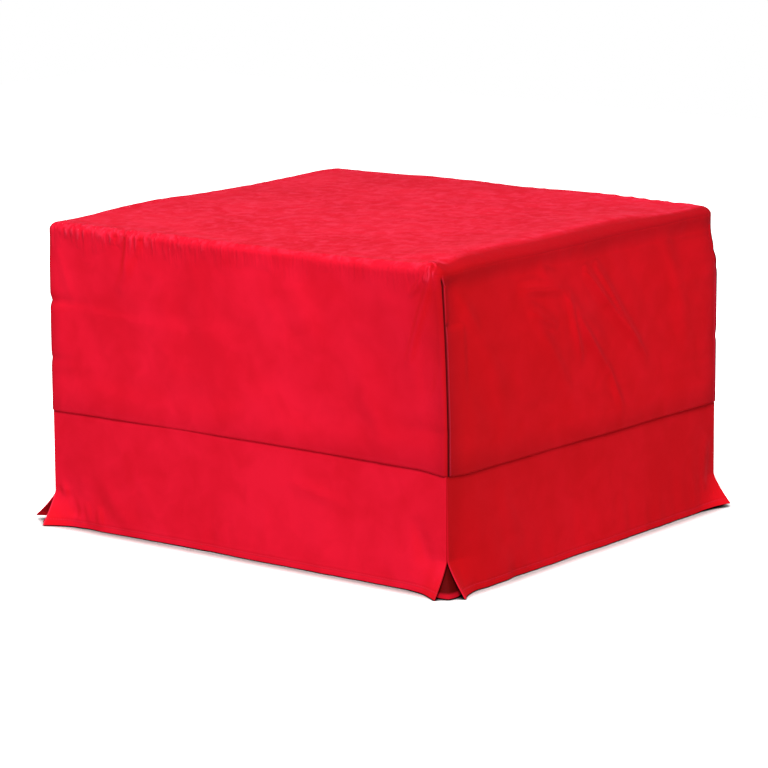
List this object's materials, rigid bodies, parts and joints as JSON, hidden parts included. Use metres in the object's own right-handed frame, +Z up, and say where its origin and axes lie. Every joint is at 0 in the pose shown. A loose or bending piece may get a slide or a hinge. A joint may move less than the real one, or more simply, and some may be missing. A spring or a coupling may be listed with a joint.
{
  "type": "fold out ottoman guest bed",
  "caption": "Square ottoman with a skirted slipcover over three hinged bed sections that fold out into a low single guest bed.",
  "frame": {"origin": "bottom centre of the folded ottoman, on the floor", "axes": "+Z up, +X across the bed, -Y the way the bed folds out; the picture looks from between -Y and +X"},
  "size_m": [0.7494, 0.7044, 0.4312],
  "materials": {
    "slipcover_cloth": "matte",
    "insert_cloth": "matte",
    "mattress_ticking": "matte",
    "strap_webbing": "matte",
    "birch_slats": "satin",
    "black_plastic": "matte",
    "rubber_feet": "matte",
    "zinc_steel": "satin",
    "powder_coat": "satin"
  },
  "bodies": {
    "base_section": {"base_end_rail_back": "powder_coat", "base_end_rail_front": "powder_coat", "base_feet": "rubber_feet", "base_hinge_pins": "zinc_steel", "base_hinge_plates": "powder_coat", "base_leg_back": "powder_coat", "base_leg_front": "powder_coat", "base_mattress": "mattress_ticking", "base_rail_left": "powder_coat", "base_rail_plugs": "black_plastic", "base_rail_right": "powder_coat", "base_slat_holders": "black_plastic", "base_slats": "birch_slats", "base_straps": "strap_webbing"},
    "middle_section": {"middle_back_hinge_plates": "powder_coat", "middle_end_rail_back": "powder_coat", "middle_end_rail_front": "powder_coat", "middle_front_hinge_plates": "powder_coat", "middle_hinge_pins": "zinc_steel", "middle_leg_rivets": "zinc_steel", "middle_mattress": "mattress_ticking", "middle_rail_left": "powder_coat", "middle_rail_plugs": "black_plastic", "middle_rail_right": "powder_coat", "middle_slat_holders": "black_plastic", "middle_slats": "birch_slats", "middle_straps": "strap_webbing"},
    "end_section": {"end_end_rail_back": "powder_coat", "end_end_rail_front": "powder_coat", "end_hinge_plates": "powder_coat", "end_leg_rivets": "zinc_steel", "end_mattress": "mattress_ticking", "end_rail_left": "powder_coat", "end_rail_plugs": "black_plastic", "end_rail_right": "powder_coat", "end_slat_holders": "black_plastic", "end_slats": "birch_slats", "end_straps": "strap_webbing"},
    "middle_leg_frame": {"middle_leg": "powder_coat", "middle_leg_feet": "rubber_feet"},
    "end_leg_frame": {"end_leg": "powder_coat", "end_leg_feet": "rubber_feet"},
    "slipcover": {"corner_inserts": "insert_cloth", "cover_side_back": "slipcover_cloth", "cover_side_front": "slipcover_cloth", "cover_side_left": "slipcover_cloth", "cover_side_right": "slipcover_cloth", "cover_top": "slipcover_cloth", "skirt_back": "slipcover_cloth", "skirt_front": "slipcover_cloth", "skirt_left": "slipcover_cloth", "skirt_right": "slipcover_cloth"}
  },
  "joints": [
    {"name": "unfold", "type": "hinge", "parent": "base_section", "child": "middle_section", "pos_m": [0, -0.311, 0.2177], "axis": [1, 0, 0], "range_deg": [0, 180]},
    {"name": "end_fold", "type": "hinge", "parent": "middle_section", "child": "end_section", "pos_m": [0, 0.311, 0.3234], "axis": [-1, 0, 0], "range_deg": [0, 180]},
    {"name": "middle_leg_swing", "type": "hinge", "parent": "middle_section", "child": "middle_leg_frame", "pos_m": [0, 0.19, 0.311], "axis": [-1, 0, 0], "range_deg": [0, 90]},
    {"name": "end_leg_swing", "type": "hinge", "parent": "end_section", "child": "end_leg_frame", "pos_m": [0, -0.27, 0.3358], "axis": [-1, 0, 0], "range_deg": [0, 90]},
    {"name": "cover_lift", "type": "slide", "parent": "base_section", "child": "slipcover", "axis": [0, 0, 1], "range_m": [0, 0.48], "deforming": ["corner_inserts", "cover_side_back", "cover_side_front", "cover_side_left", "cover_side_right", "cover_top", "skirt_back", "skirt_front", "skirt_left", "skirt_right"]}
  ],
  "couplings": [
    {"joint": "end_fold", "follows": "unfold", "ratio": 1},
    {"joint": "middle_leg_swing", "follows": "unfold", "ratio": 0.5},
    {"joint": "end_leg_swing", "follows": "unfold", "ratio": 0.5},
    {"joint": "cover_lift", "follows": "unfold", "m_per_rad": 0.15279}
  ]
}
